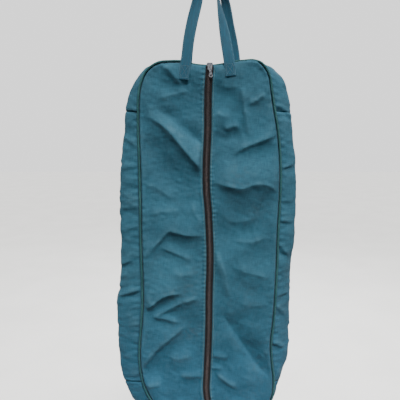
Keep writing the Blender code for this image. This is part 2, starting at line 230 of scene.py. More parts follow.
def coons(inner, outer, top, bottom):
    """Grid of (rows, columns, 2) between four sampled edges."""
    v = np.linspace(0, 1, len(inner))[:, None, None]
    u = np.linspace(0, 1, len(top))[None, :, None]
    ruled = (1 - u) * inner[:, None] + u * outer[:, None] + (1 - v) * top[None] + v * bottom[None]
    upper, lower = (1 - u) * top[0] + u * top[-1], (1 - u) * bottom[0] + u * bottom[-1]
    return ruled - (1 - v) * upper - v * lower


# ---------------------------------------------------------------- meshes

def add_object(name, points, faces, material, flat=None, fields=None):
    """A smooth mesh. flat is each point's place in the cut cloth, and fields its other values."""
    mesh = bpy.data.meshes.new(name)
    mesh.from_pydata(points.reshape(-1, 3).tolist(), [], faces)
    mesh.update()
    if flat is not None:
        values = flat.astype(np.float32).ravel()
        mesh.attributes.new("cloth_uv", "FLOAT_VECTOR", "POINT").data.foreach_set("vector", values)
    for key, values in (fields or {}).items():
        values = values.astype(np.float32).ravel()
        mesh.attributes.new(key, "FLOAT", "POINT").data.foreach_set("value", values)
    mesh.polygons.foreach_set("use_smooth", np.ones(len(mesh.polygons), bool))
    mesh.materials.append(material)
    thing = bpy.data.objects.new(name, mesh)
    bpy.context.collection.objects.link(thing)
    return thing


def stand_for(thing, node, body=None):
    """The piece takes a CAD node's place, hiding it, and rides on a body if it is given one."""
    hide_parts(node)
    if body:
        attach(thing, body)


def grid_faces(rows, columns, wrap_rows=False, wrap_columns=False, start=0, flip=False):
    i = np.arange(rows if wrap_rows else rows - 1)
    j = np.arange(columns if wrap_columns else columns - 1)
    i, j = (part.ravel() for part in np.meshgrid(i, j, indexing="ij"))
    ni, nj = (i + 1) % rows, (j + 1) % columns
    quads = [i * columns + j, i * columns + nj, ni * columns + nj, ni * columns + j]
    return (np.stack(quads[::-1] if flip else quads, axis=1) + start).tolist()


def tube_faces(rows, columns, closed=False):
    """Faces of a tube of rings, with its ends capped unless it is closed."""
    faces = grid_faces(rows, columns, wrap_rows=closed, wrap_columns=True)
    if not closed:
        faces += [list(range(columns))[::-1], list(range((rows - 1) * columns, rows * columns))]
    return faces


def grid_normals(grid):
    n = np.cross(np.gradient(grid, axis=1), np.gradient(grid, axis=0))
    return n / np.maximum(np.linalg.norm(n, axis=2), 1e-12)[..., None]


def shell(name, grid, thick, material, flat, fields=None, flip=False):
    """Closed sheet of cloth. The grid is its outer face, and flat its place in the cut cloth."""
    rows, columns = grid.shape[:2]
    under = grid - grid_normals(grid) * (-thick if flip else thick)
    half = rows * columns
    faces = grid_faces(rows, columns, flip=flip)
    faces += grid_faces(rows, columns, start=half, flip=not flip)
    index = np.arange(half).reshape(rows, columns)
    rim = np.concatenate([index[0, :-1], index[:-1, -1], index[-1, :0:-1], index[:0:-1, 0]])
    after = np.roll(rim, -1)
    sides = [rim, rim + half, after + half, after]
    faces += np.stack(sides[::-1] if flip else sides, axis=1).tolist()
    doubled = {key: np.concatenate([values, values]) for key, values in (fields or {}).items()}
    return add_object(name, np.concatenate([grid, under]), faces, material,
                      np.concatenate([flat, flat]), doubled)


def tube(name, line, side, lift, section, material, closed=False, fields=None):
    """Section swept along a line; side and lift are the directions of its axes at each sample."""
    ring = np.array(section)
    grid = line[:, None] + side[:, None] * ring[None, :, :1] + lift[:, None] * ring[None, :, 1:]
    flat = triple(lengths(ring), lengths(line)[:, None])
    return add_object(name, grid, tube_faces(*grid.shape[:2], closed), material, flat, fields)


def circle(radius, count):
    return [(radius * math.cos(TAU * k / count), radius * math.sin(TAU * k / count)) for k in range(count)]


def rounded(width, thick, corner, steps=4):
    """Rounded rectangle, counter-clockwise."""
    out = []
    for cx, cy, start in ((1, 1, 0), (-1, 1, 90), (-1, -1, 180), (1, -1, 270)):
        for k in range(steps + 1):
            a = math.radians(start + 90 * k / steps)
            out.append((cx * (width / 2 - corner) + corner * math.cos(a),
                        cy * (thick / 2 - corner) + corner * math.sin(a)))
    return np.array(out)


def stitches(name, starts, ends, outward, radius, material, sink=0.35):
    """Short arched capsules of thread from each start to each end."""
    length = np.linalg.norm(ends - starts, axis=1)[:, None]
    way = (ends - starts) / length
    outward = unit(outward - (outward * way).sum(1)[:, None] * way)
    side = np.cross(way, outward)
    # place along the stitch, and its width and height there in radii
    stations = [(0.02, 0.35, -0.5), (0.16, 0.9, 0.1), (0.5, 1.05, 0.45), (0.84, 0.9, 0.1), (0.98, 0.35, -0.5)]
    around = circle(1.0, 6)
    grid = np.zeros((len(starts), len(stations), len(around), 3))
    for i, (t, r, h) in enumerate(stations):
        centre = starts + way * length * t + outward * radius * (h + sink)
        for j, (a, b) in enumerate(around):
            grid[:, i, j] = centre + (side * a + outward * b) * radius * r
    one = tube_faces(len(stations), len(around))
    per = len(stations) * len(around)
    faces = [[v + per * k for v in face] for k in range(len(starts)) for face in one]
    t = np.array([station[0] for station in stations])
    flat = triple(np.linspace(0, TAU * radius, len(around)), t[:, None] * length[:, :, None])
    thing = add_object(name, grid, faces, material, flat)
    return thing


# ---------------------------------------------------------------- materials

class Value:
    """A node's output, which can be added and multiplied."""

    def __init__(self, nodes, socket):
        self.nodes, self.socket = nodes, socket

    def __add__(self, other):
        return self.nodes.math("ADD", self, other)

    def __mul__(self, other):
        return self.nodes.math("MULTIPLY", self, other)


class Nodes:
    """The nodes of a material or world."""

    def __init__(self, owner):
        self.owner = owner
        owner.use_nodes = True
        self.tree = owner.node_tree

    def put(self, value, socket):
        if isinstance(value, Value):
            self.tree.links.new(value.socket, socket)
        else:
            socket.default_value = (*value, 1.0) if socket.type == "RGBA" else value

    def node(self, kind, inputs, output=0, **settings):
        """One output of a new node with these inputs."""
        n = self.tree.nodes.new(kind)
        for key, value in settings.items():
            setattr(n, key, value)
        for key, value in inputs.items():
            self.put(value, n.inputs[key])
        return Value(self, n.outputs[output])

    def math(self, operation, a, b=0.0, clamp=False):
        return self.node("ShaderNodeMath", {0: a, 1: b}, operation=operation, use_clamp=clamp)

    def place(self, kind="Object"):
        return self.node("ShaderNodeTexCoord", {}, kind)

    def field(self, name, output="Fac"):
        return self.node("ShaderNodeAttribute", {}, output, attribute_name=name)

    def split(self, vector):
        first = self.node("ShaderNodeSeparateXYZ", {0: vector})
        return [Value(self, socket) for socket in first.socket.node.outputs]

    def noise(self, vector, scale, detail=3.0, rough=0.55):
        inputs = {"Vector": vector, "Scale": scale, "Detail": detail, "Roughness": rough}
        return self.node("ShaderNodeTexNoise", inputs, "Fac")

    def streaks(self, vector, scales, detail=2.0, rough=0.55):
        """Noise with its own scale along each axis."""
        scaled = self.node("ShaderNodeVectorMath", {0: vector, 1: scales}, operation="MULTIPLY")
        return self.noise(scaled, 1.0, detail, rough)

    def remap(self, value, low, high, to_low=0.0, to_high=1.0):
        inputs = {"Value": value, "From Min": low, "From Max": high, "To Min": to_low, "To Max": to_high}
        return self.node("ShaderNodeMapRange", inputs, "Result", interpolation_type="SMOOTHSTEP")

    def mix(self, factor, a, b, blend="MIX"):
        return self.node("ShaderNodeMix", {0: factor, 6: a, 7: b}, 2, data_type="RGBA", blend_type=blend)

    def bump(self, height, distance, strength=1.0, under=None):
        inputs = {"Height": height, "Distance": distance, "Strength": strength}
        if under is not None:
            inputs["Normal"] = under
        return self.node("ShaderNodeBump", inputs)

    def finish(self, color, roughness, **parts):
        """The material. Parts are the shader's other inputs, with _ for a space."""
        shader = self.tree.nodes["Principled BSDF"]
        for key, value in {"Base_Color": color, "Roughness": roughness, **parts}.items():
            self.put(value, shader.inputs[key.replace("_", " ")])
        return self.owner


def new_material(name):
    return Nodes(bpy.data.materials.new(name))


def new_cloth(name):
    """Nodes of a new material, its place in the cut cloth, and that place's two parts."""
    n = new_material(name)
    uv = n.field("cloth_uv", "Vector")
    x, y, _ = n.split(uv)
    return n, uv, x, y


def tinted(color, factor):
    return tuple(c * factor for c in color)


def woven(name, color, faded, dirt, pitch=0.65 * MM, fade=0.55):
    """Plain-woven cloth with uneven threads, faded on its ridges, grubby in patches, and darkened by painted
    shade in its seam grooves and between its threads.
    """
    n, uv, x, y = new_cloth(name)
    wobble = (n.noise(uv, 260.0, 2.0) + -0.5) * 0.5
    warp, weft = (n.math("SINE", part * (math.pi / pitch) + wobble) for part in (x, y))
    cross = warp * weft
    slub = n.streaks(uv, (900.0, 60.0, 1.0)) + n.streaks(uv, (60.0, 900.0, 1.0))
    streak = n.streaks(uv, (420.0, 32.0, 1.0), 3.0) + n.streaks(uv, (32.0, 420.0, 1.0), 3.0)
    crumple = n.noise(uv, 55.0, 4.0, 0.6)
    tone = n.noise(uv, 11.0, 4.0, 0.6) * 0.5 + crumple * 0.3 + n.noise(uv, 420.0, 3.0, 0.7) * 0.2
    base = n.mix(n.remap(tone, 0.39, 0.61), tinted(color, 0.81), tinted(color, 1.19))
    base = n.mix(n.remap(streak, 0.82, 1.18, 0.0, 0.55), base, tinted(color, 0.72))
    base = n.mix(n.remap(slub, 0.85, 1.2, 0.0, 0.45), base, tinted(color, 1.45))
    # painted shade: the cloth is drawn a little darker and bluer lower down, where the light falls off
    low = n.remap(n.split(n.place())[2], -0.75, -1.15)
    base = n.mix(low, base, (0.90, 0.965, 1.07), "MULTIPLY")
    patchy = n.remap(n.noise(uv, 38.0, 4.0, 0.65), 0.3, 0.75)
    base = n.mix(n.math("MULTIPLY", n.field("wear_and_highlight"), fade, clamp=True) * patchy, base, faded)
    grime = n.remap(n.noise(uv, 7.0, 5.0, 0.62), 0.50, 0.78) * n.remap(n.noise(uv, 90.0), 0.35, 0.7)
    base = n.mix(grime * 0.35, base, dirt)
    # painted shade: the cloth is darkened in the seam grooves and cross seams, wherever the deep field is
    # high
    base = n.mix(n.field("deep") * 0.8, base, tinted(color, 0.16))
    # painted shade in the gaps between the threads, where the weave sinks
    base = n.mix(cross * -0.11 + 0.11, base, tinted(color, 0.45))
    normal = n.bump(cross * 0.5 + slub * 0.8, 0.24 * MM)
    normal = n.bump(n.noise(uv, 150.0, 3.0, 0.6), 0.5 * MM, 0.5, normal)
    normal = n.bump(crumple, 1.1 * MM, 0.55, normal)
    return n.finish(base, n.remap(tone, 0.3, 0.7, 0.78, 0.95), Normal=normal, Sheen_Weight=0.06,
                    Sheen_Roughness=0.45, Specular_IOR_Level=0.2)


def webbing(name, color, faded):
    """Flat woven strap: lengthwise ribs crossed by a fine weft."""
    n, uv, x, y = new_cloth(name)
    rib = n.math("SINE", x * (TAU / (1.5 * MM)))
    pick = n.math("SINE", y * (TAU / (1.1 * MM)) + rib * 1.2)
    height = rib * 0.5 + pick * 0.35
    tone = n.streaks(uv, (300.0, 45.0, 1.0), 4.0, 0.6)
    base = n.mix(n.remap(tone, 0.33, 0.68), tinted(color, 0.8), tinted(color, 1.18))
    # painted shade in the low parts of the ribs and weft
    base = n.mix(n.remap(height, -0.8, 0.1, 1.0, 0.0) * 0.5, base, tinted(color, 0.4))
    rubbed = n.remap(n.noise(uv, 120.0, 4.0), 0.4, 0.65)
    base = n.mix(n.math("MULTIPLY", n.field("wear_and_highlight"), rubbed, clamp=True) * 0.7, base, faded)
    return n.finish(base, n.remap(tone, 0.3, 0.7, 0.68, 0.9), Normal=n.bump(height, 0.12 * MM, 0.9),
                    Sheen_Weight=0.05, Sheen_Roughness=0.5, Specular_IOR_Level=0.25)


def tape_cloth(name, color, light):
    """Herringbone zip tape."""
    n, uv, x, y = new_cloth(name)
    zigzag = n.math("PINGPONG", x * (1 / (1.6 * MM)), 1.0)
    rib = n.math("SINE", (y + zigzag * (1.4 * MM)) * (TAU / (0.9 * MM)))
    base = n.mix(n.remap(n.noise(uv, 90.0, 4.0, 0.65), 0.4, 0.72), color, light)
    # painted shade in the troughs of the herringbone ribs
    base = n.mix(n.remap(rib, -1.0, 0.4, 0.55, 0.0), base, tinted(color, 0.4))
    return n.finish(base, 0.88, Normal=n.bump(rib, 0.18 * MM, 0.8), Sheen_Weight=0.1,
                    Specular_IOR_Level=0.3)


def coil_plastic(name, color, light):
    """Monofilament of the zip coil, dusty in patches, with a painted highlight on the head of each turn."""
    n = new_material(name)
    place = n.place()
    dust_and_highlight = n.noise(place, 140.0, 4.0, 0.7)
    base = n.mix(n.remap(dust_and_highlight, 0.42, 0.66, 0.0, 0.35), color, light)
    # painted highlight: the head of each turn is drawn paler, more so where the noise is high
    base = n.mix(n.field("wear_and_highlight") * n.remap(dust_and_highlight, 0.3, 0.6, 0.45, 0.95), base, light)
    base = n.mix(n.remap(n.noise(place, 9.0), 0.35, 0.7, 0.0, 0.5), base, tinted(color, 0.6))
    scratch = n.streaks(n.field("cloth_uv", "Vector"), (4000.0, 300.0, 1.0))
    return n.finish(base, n.remap(dust_and_highlight, 0.3, 0.7, 0.38, 0.62), Normal=n.bump(scratch, 0.03 * MM, 0.6),
                    Specular_IOR_Level=0.5)


def thread_material(name, color, pale):
    """Two-ply sewing thread."""
    n, _, x, y = new_cloth(name)
    ply = n.math("SINE", (y + x * 0.9) * (TAU / (0.45 * MM)))
    base = n.mix(n.remap(n.noise(n.place(), 60.0), 0.35, 0.7), color, pale)
    # painted shade in the grooves between the plies
    base = n.mix(n.remap(ply, -1.0, 0.2, 0.5, 0.0), base, tinted(color, 0.5))
    return n.finish(base, 0.6, Normal=n.bump(ply, 0.08 * MM, 0.8), Sheen_Weight=0.15,
                    Specular_IOR_Level=0.4)


def worn_metal(name, color, dark, grain=(360.0, 5400.0, 360.0)):
    """Plated zinc casting, brushed where it is worn, and dull and darker in blotches."""
    n = new_material(name)
    place = n.place()
    brushed = n.streaks(place, grain, 4.0, 0.6)
    blotch = n.noise(place, 260.0, 5.0, 0.65)
    base = n.mix(n.remap(blotch, 0.42, 0.68), color, dark)
    rough = n.remap(brushed, 0.3, 0.7, 0.22, 0.42) + n.remap(blotch, 0.4, 0.7, 0.0, 0.22)
    normal = n.bump(n.noise(place, 1800.0, 2.0, 0.5), 0.04 * MM, 0.5, n.bump(brushed, 0.03 * MM, 0.5))
    return n.finish(base, rough, Normal=normal, Metallic=1.0)


def floor_material():
    n = new_material("pale_floor")
    tone = n.noise(n.place(), 3.0, 4.0, 0.5)
    return n.finish(n.mix(n.remap(tone, 0.3, 0.7), (0.80, 0.80, 0.79), (0.84, 0.84, 0.83)), 0.8)


TEAL = (0.028, 0.106, 0.156)
TEAL_FADED = (0.075, 0.190, 0.255)
GRIME = (0.085, 0.105, 0.105)

CLOTH_MAT = woven("cloth_teal", TEAL, TEAL_FADED, GRIME)
BACK_MAT = woven("cloth_teal_back", tinted(TEAL, 0.95), TEAL_FADED, GRIME, fade=0.35)
PIPING_MAT = woven("piping_cloth", (0.020, 0.085, 0.092), (0.048, 0.150, 0.150), (0.03, 0.06, 0.06),
                   0.45 * MM, 0.9)
BINDING_MAT = woven("binding_cloth", (0.030, 0.085, 0.100), (0.06, 0.13, 0.15), (0.04, 0.05, 0.05),
                    0.5 * MM, 0.3)
STRAP_MAT = webbing("strap_webbing", (0.021, 0.091, 0.145), (0.062, 0.162, 0.225))
TAPE_MAT = tape_cloth("zip_tape", (0.006, 0.006, 0.007), (0.016, 0.014, 0.016))
COIL_MAT = coil_plastic("zip_coil", (0.015, 0.009, 0.011), (0.165, 0.112, 0.104))
THREAD_MAT = thread_material("teal_thread", (0.085, 0.215, 0.225), (0.150, 0.300, 0.310))
STRAP_THREAD_MAT = thread_material("strap_thread", (0.035, 0.115, 0.150), (0.060, 0.165, 0.205))
METAL_MAT = worn_metal("worn_plating", (0.38, 0.40, 0.44), (0.07, 0.07, 0.085))
STOP_MAT = worn_metal("stop_plating", (0.50, 0.50, 0.51), (0.22, 0.21, 0.21), (3600.0, 360.0, 360.0))


# ---------------------------------------------------------------- camera, light and floor

def lamp(name, kind, power, tint, way, place=(0, 0, 0), **shape):
    light = bpy.data.lights.new(name, kind)
    light.energy = power
    light.color = tint
    for key, value in shape.items():
        setattr(light, key, value)
    thing = bpy.data.objects.new(name, light)
    thing.location = place
    thing.rotation_euler = Vector(way).to_track_quat("-Z", "Y").to_euler()
    bpy.context.collection.objects.link(thing)


def setting():
    lens = bpy.data.cameras.new("camera")
    lens.lens = 36.0
    lens.sensor_width = 36.0
    lens.clip_start = 0.02
    camera = bpy.data.objects.new("camera", lens)
    camera.location = (-0.0225, -0.983, -0.447)
    camera.rotation_euler = (math.radians(90 - 9), 0, 0)
    bpy.context.collection.objects.link(camera)
    bpy.context.scene.camera = camera

    lamp("fill", "AREA", 8.0, (0.94, 0.97, 1.0), (-1.5, 2.2, -0.45), (1.5, -2.2, -0.3), size=1.8)
    lamp("rear", "AREA", 120.0, (1.0, 1.0, 1.0), (-0.6, -2.0, -1.9), (0.6, 2.0, 1.2), size=1.6)
    lamp("key", "SUN", 5.9, (1.0, 0.99, 0.97), (-0.09, 0.50, -0.86), angle=math.radians(18))

    # the camera sees a plain pale room, which lights the bag more from above than from below
    room = Nodes(bpy.data.worlds.new("pale_room"))
    seen = room.tree.nodes["Background"]
    seen.inputs["Color"].default_value = (1.0, 1.0, 1.0, 1.0)
    seen.inputs["Strength"].default_value = 1.5
    up = room.split(room.place("Generated"))[2]
    ramp = {"Value": up, "From Min": -0.3, "From Max": 0.8, "To Min": 0.05, "To Max": 0.55}
    glow = room.node("ShaderNodeBackground", {"Strength": room.node("ShaderNodeMapRange", ramp, "Result")})
    ray = room.node("ShaderNodeLightPath", {}, "Is Camera Ray")
    either = room.node("ShaderNodeMixShader", {0: ray, 1: glow, 2: Value(room, seen.outputs[0])})
    room.put(either, room.tree.nodes["World Output"].inputs[0])
    bpy.context.scene.world = room.owner

    reach, deep = 14.0, -1.75
    corners = reach * np.array([(-1.0, -1.0), (1.0, -1.0), (1.0, 1.0), (-1.0, 1.0)])
    floor = add_object("floor", triple(*corners.T, deep), [[0, 1, 2, 3]], floor_material())
    floor.visible_diffuse = False


setting()

# ---------------------------------------------------------------- the seam loop

LOOP = along(SEAM, STATIONS, closed=True) * MM
SEAM_XZ, FOLD_XZ = LOOP[:, :2], LOOP[:, 2:]
SEAM_X, SEAM_Z = SEAM_XZ.T
WAY = unit(np.roll(SEAM_XZ, -1, axis=0) - np.roll(SEAM_XZ, 1, axis=0))
OUT = np.stack([WAY[:, 1], -WAY[:, 0]], axis=1)
OUTWARD = triple(OUT[:, 0], 0, OUT[:, 1])
FORWARD = np.tile([0.0, -1.0, 0.0], (STATIONS, 1))
SEAM_LENGTH = lengths(SEAM_XZ)
# the back seam wanders a little from the front one's outline
DRIFT = 2.0 * MM * np.sin(SEAM_LENGTH / 0.17 + 1.0) + 1.5 * MM * np.sin(SEAM_LENGTH / 0.071)


def lean(z):
    """How far the back comes forwards at the top, where the straps pull it."""
    return 6 * MM * smooth((z + 0.365) / 0.05)


def rolled_over(x, z):
    """1 along the top, where the panel rolls over its piping and hides it."""
    return smooth((x + 0.066) / 0.016) * smooth((0.122 - x) / 0.016) * (z > -0.35)


def on_ring(shift, y):
    """A loop beside the seam, shifted outwards, at depth y."""
    points = SEAM_XZ + OUT * np.broadcast_to(shift, STATIONS)[:, None]
    return triple(points[:, 0], y, points[:, 1])


def nearest_station(x, z):
    return int(np.argmin((SEAM_X - x) ** 2 + (SEAM_Z - z) ** 2))


CORNER = {
    ("left", "top"): nearest_station(-0.143, -0.293), ("left", "bottom"): nearest_station(-0.136, -1.152),
    ("right", "top"): nearest_station(0.133, -0.294), ("right", "bottom"): nearest_station(0.152, -1.157),
}
TOP_MID = {side: nearest_station(sign * ZIP_HALF, TOP_Z) for side, sign in SIGN.items()}
BOTTOM_MID = {side: nearest_station(sign * ZIP_HALF, -1.187) for side, sign in SIGN.items()}


def to_seam(x, z):
    """Distance to the seam, and the nearest place along it."""
    flat_x, flat_z = x.ravel(), z.ravel()
    best = np.full(flat_x.shape, 9.0)
    where = np.zeros(flat_x.shape, int)
    for start in range(0, STATIONS, 60):
        part = SEAM_XZ[start:start + 60]
        d = (flat_x[:, None] - part[:, 0]) ** 2 + (flat_z[:, None] - part[:, 1]) ** 2
        k = d.argmin(axis=1)
        value = d[np.arange(len(k)), k]
        closer = value < best
        best[closer] = value[closer]
        where[closer] = k[closer] + start
    return np.sqrt(best).reshape(x.shape), SEAM_LENGTH[where].reshape(x.shape)


def run(first, last, step=1):
    """Stations from first to last, going round past the start if need be."""
    return [(first + step * k) % STATIONS for k in range((last - first) * step % STATIONS + 1)]


def edge_along(stations, count, first=None, last=None):
    """Even samples of a panel's edge, with given end points if there are any."""
    points = SEAM_XZ[stations] - OUT[stations] * PANEL_INSET
    if first is not None:
        points[0], points[-1] = first, last
    length = lengths(points)
    at = np.linspace(0, length[-1], count)
    return np.stack([np.interp(at, length, points[:, k]) for k in (0, 1)], axis=1)


def opening(x, z):
    """How far a point of the front goes with its half when the zip is open."""
    distance, _ = to_seam(x, z)
    lens = smooth((-0.300 - z) / 0.22) * smooth((z + 1.160) / 0.20)
    return lens * smooth(distance / 0.085)


def follow_half(thing):
    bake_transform(thing)
    co = np.array([v.co for v in thing.data.vertices])
    weight = opening(co[:, 0], co[:, 2])


def follow_depth(thing):
    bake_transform(thing)

# ---------------------------------------------------------------- creases of the front

LEFT_FOLDS = [
    ([(-170, -398), (-146, -402), (-121, -414), (-93, -438), (-63, -475), (-34, -509), (8, -560)],
      19, 37, 34, 8, 36),
    ([(-140, -378), (-112, -392), (-86, -411), (-54, -439), (-24, -461), (8, -477)], -13, 20, 14, 0, 8),
    ([(-128, -362), (-90, -352), (-40, -338)], 4, 16, 25, 1.4, 16),
    ([(-118, -276), (-94, -298), (-62, -334)], 6, 18, 17, 2.1, 14),
    ([(-46, -600), (-32, -640), (-14, -672)], 4, 18, 21, 1.4, 16),
    ([(-174, -752), (-150, -735), (-137, -719), (-114, -694), (-101, -679), (-65, -686), (4, -691)],
      6, 26, 14, 1.8, 18),
    ([(-128, -716), (-90, -732), (-36, -756)], 3.5, 14, 10, 1.4, 12),
    ([(-172, -888), (-144, -868), (-121, -849), (-103, -840), (-60, -839)], 10, 50, 14, 2.4, 18),
    ([(-146, -905), (-100, -880), (-54, -853)], 4.5, 12, 10, 1.4, 12),
    ([(-152, -898), (-110, -908), (-66, -921)], 4.5, 12, 10, 1.4, 12),
    ([(-70, -862), (-50, -856), (-26, -850)], 3, 9, 10, 0.7, 10),
    ([(-184, -1056), (-150, -1012), (-136, -994), (-105, -966), (-50, -918)], 7, 26, 15, 2.8, 20),
    ([(-178, -1099), (-150, -1093), (-118, -1088)], 5, 16, 13, 1.4, 14),
    ([(-82, -1069), (-42, -1066), (0, -1068)], 3.5, 14, 10, 1, 12),
    ([(-160, -560), (-120, -575), (-84, -602)], 3, 20, 25, 1, 20),
    ([(-150, -640), (-118, -628), (-70, -634)], 2.5, 16, 21, 0.9, 16),
    ([(-100, -780), (-70, -790), (-30, -786)], 3, 16, 17, 1, 16),
    ([(-110, -1010), (-80, -1018), (-36, -1008)], 3, 16, 17, 1, 14),
    ([(-140, -1135), (-90, -1150), (-30, -1142)], 3.5, 16, 17, 1, 14),
]
RIGHT_FOLDS = [
    ([(34, -436), (48, -427), (74, -423)], 3.5, 14, 10, 1.8, 12),
    ([(2, -440), (36, -452), (84, -446)], -4, 22, 36, 0, 8),
    ([(70, -316), (84, -398), (94, -460)], 7, 26, 16, 1, 14),
    ([(50, -496), (75, -478), (103, -465), (130, -455), (170, -438)], 8, 28, 13, 2.4, 20),
    ([(-8, -544), (24, -560), (52, -567), (81, -570), (105, -561), (132, -561), (178, -588)],
      19, 60, 46, 4, 60),
    ([(88, -376), (112, -362), (134, -346)], 4, 13, 10, 1.4, 12),
    ([(62, -852), (50, -834), (40, -790), (14, -716)], 5, 16, 15, 1.4, 14),
    ([(56, -768), (95, -784), (118, -789), (166, -800)], 4.5, 24, 24, 2, 18),
    ([(26, -880), (67, -950), (99, -997), (131, -1044), (150, -1062), (180, -1088)], -9, 34, 11, 0, 10),
    ([(-2, -1007), (22, -1012), (52, -1020)], 3.5, 11, 10, 0.9, 10),
    ([(-2, -1046), (16, -1047), (40, -1049)], 3.5, 9, 10, 0.9, 9),
    ([(12, -1056), (42, -1079), (78, -1103)], 4.5, 14, 10, 1, 12),
    ([(24, -640), (60, -655), (130, -640)], 3, 22, 25, 1, 20),
    ([(50, -700), (100, -706), (150, -692)], 3, 18, 21, 1, 16),
    ([(70, -860), (110, -872), (155, -866)], 3, 18, 21, 1, 16),
    ([(30, -1138), (90, -1146), (140, -1132)], 3.5, 16, 17, 1, 14),
    ([(24, -325), (44, -335), (72, -332)], 1.6, 13, 13, 0.8, 12),
    ([(10, -390), (30, -400), (54, -397)], 1.6, 12, 13, 0.5, 10),
]

# How far the whole front stands out at each height: z and depth, in mm.
SWELL = [
    (-1210, 0), (-1165, 0), (-1125, 0), (-1050, -6), (-960, -4), (-820, -1), (-740, -3), (-660, -3),
    (-560, -4), (-450, -5), (-370, -6), (-302, 0), (-260, 0),
]


def swell(z):
    return level(SWELL, z)


def tape_dip(across):
    """How far the tape sinks behind the panel, at a distance from the zip's middle."""
    return 3.2 * MM * smooth((across - 9.0 * MM) / (7 * MM))


def settle(grid, pinned):
    """Cloth simulation: the cut cloth is a little larger than its frame of seams, and buckles."""
    rows, columns = grid.shape[:2]
    mesh = bpy.data.meshes.new("settling")
    mesh.from_pydata(grid.reshape(-1, 3).tolist(), [], grid_faces(rows, columns))
    thing = bpy.data.objects.new("settling", mesh)
    bpy.context.collection.objects.link(thing)
    group = thing.vertex_groups.new(name="held")
    for index, weight in enumerate(pinned.ravel()):
        group.add([index], float(weight), "REPLACE")
    cloth = thing.modifiers.new("cloth", "CLOTH")
    for key, value in {
        "quality": 6, "mass": 0.25, "tension_stiffness": 40, "compression_stiffness": 40,
        "shear_stiffness": 20, "bending_stiffness": 2.0, "air_damping": 2.0,
        "vertex_group_mass": "held", "pin_stiffness": 0.6, "shrink_min": -0.004,
    }.items():
        setattr(cloth.settings, key, value)
    cloth.settings.effector_weights.gravity = 0.5
    cloth.collision_settings.use_collision = False
    cloth.point_cache.frame_start = 1
    cloth.point_cache.frame_end = 24
    scene = bpy.context.scene
    for number in range(1, SETTLING_FRAMES + 1):
        scene.frame_set(number)
    settled = thing.evaluated_get(bpy.context.evaluated_depsgraph_get()).to_mesh()
    out = np.empty(rows * columns * 3, np.float32)
    settled.vertices.foreach_get("co", out)
    thing.to_mesh_clear()
    bpy.data.objects.remove(thing, do_unlink=True)
    bpy.data.meshes.remove(mesh)
    scene.frame_set(1)
    return out.reshape(rows, columns, 3).astype(float)


def finer(grid, *shape):
    """The same surface with more points, through smooth curves in both directions."""
    for count in shape:
        size = len(grid)
        dense = hermite(np.linspace(0, 1, size), grid.reshape(size, -1), np.linspace(0, 1, count))
        grid = np.swapaxes(dense.reshape(count, *grid.shape[1:]), 0, 1)
    return grid


def hidden_depth(distance, seam_at):
    """The shape that its seam gives a panel: it dives under the piping and puckers beside it."""
    dive = -3.6 * MM * (1 - smooth((distance - 1.6 * MM) / (5 * MM)))
    pucker = np.sin(TAU * seam_at / (19 * MM) + 2.5 * np.sin(seam_at / (61 * MM)))
    strength = 0.5 + 0.5 * np.sin(seam_at / (83 * MM) + 1.0)
    near = smooth(distance / (3 * MM)) * bell((distance - 6 * MM) / (9 * MM))
    return dive + 0.5 * MM * pucker * strength * near


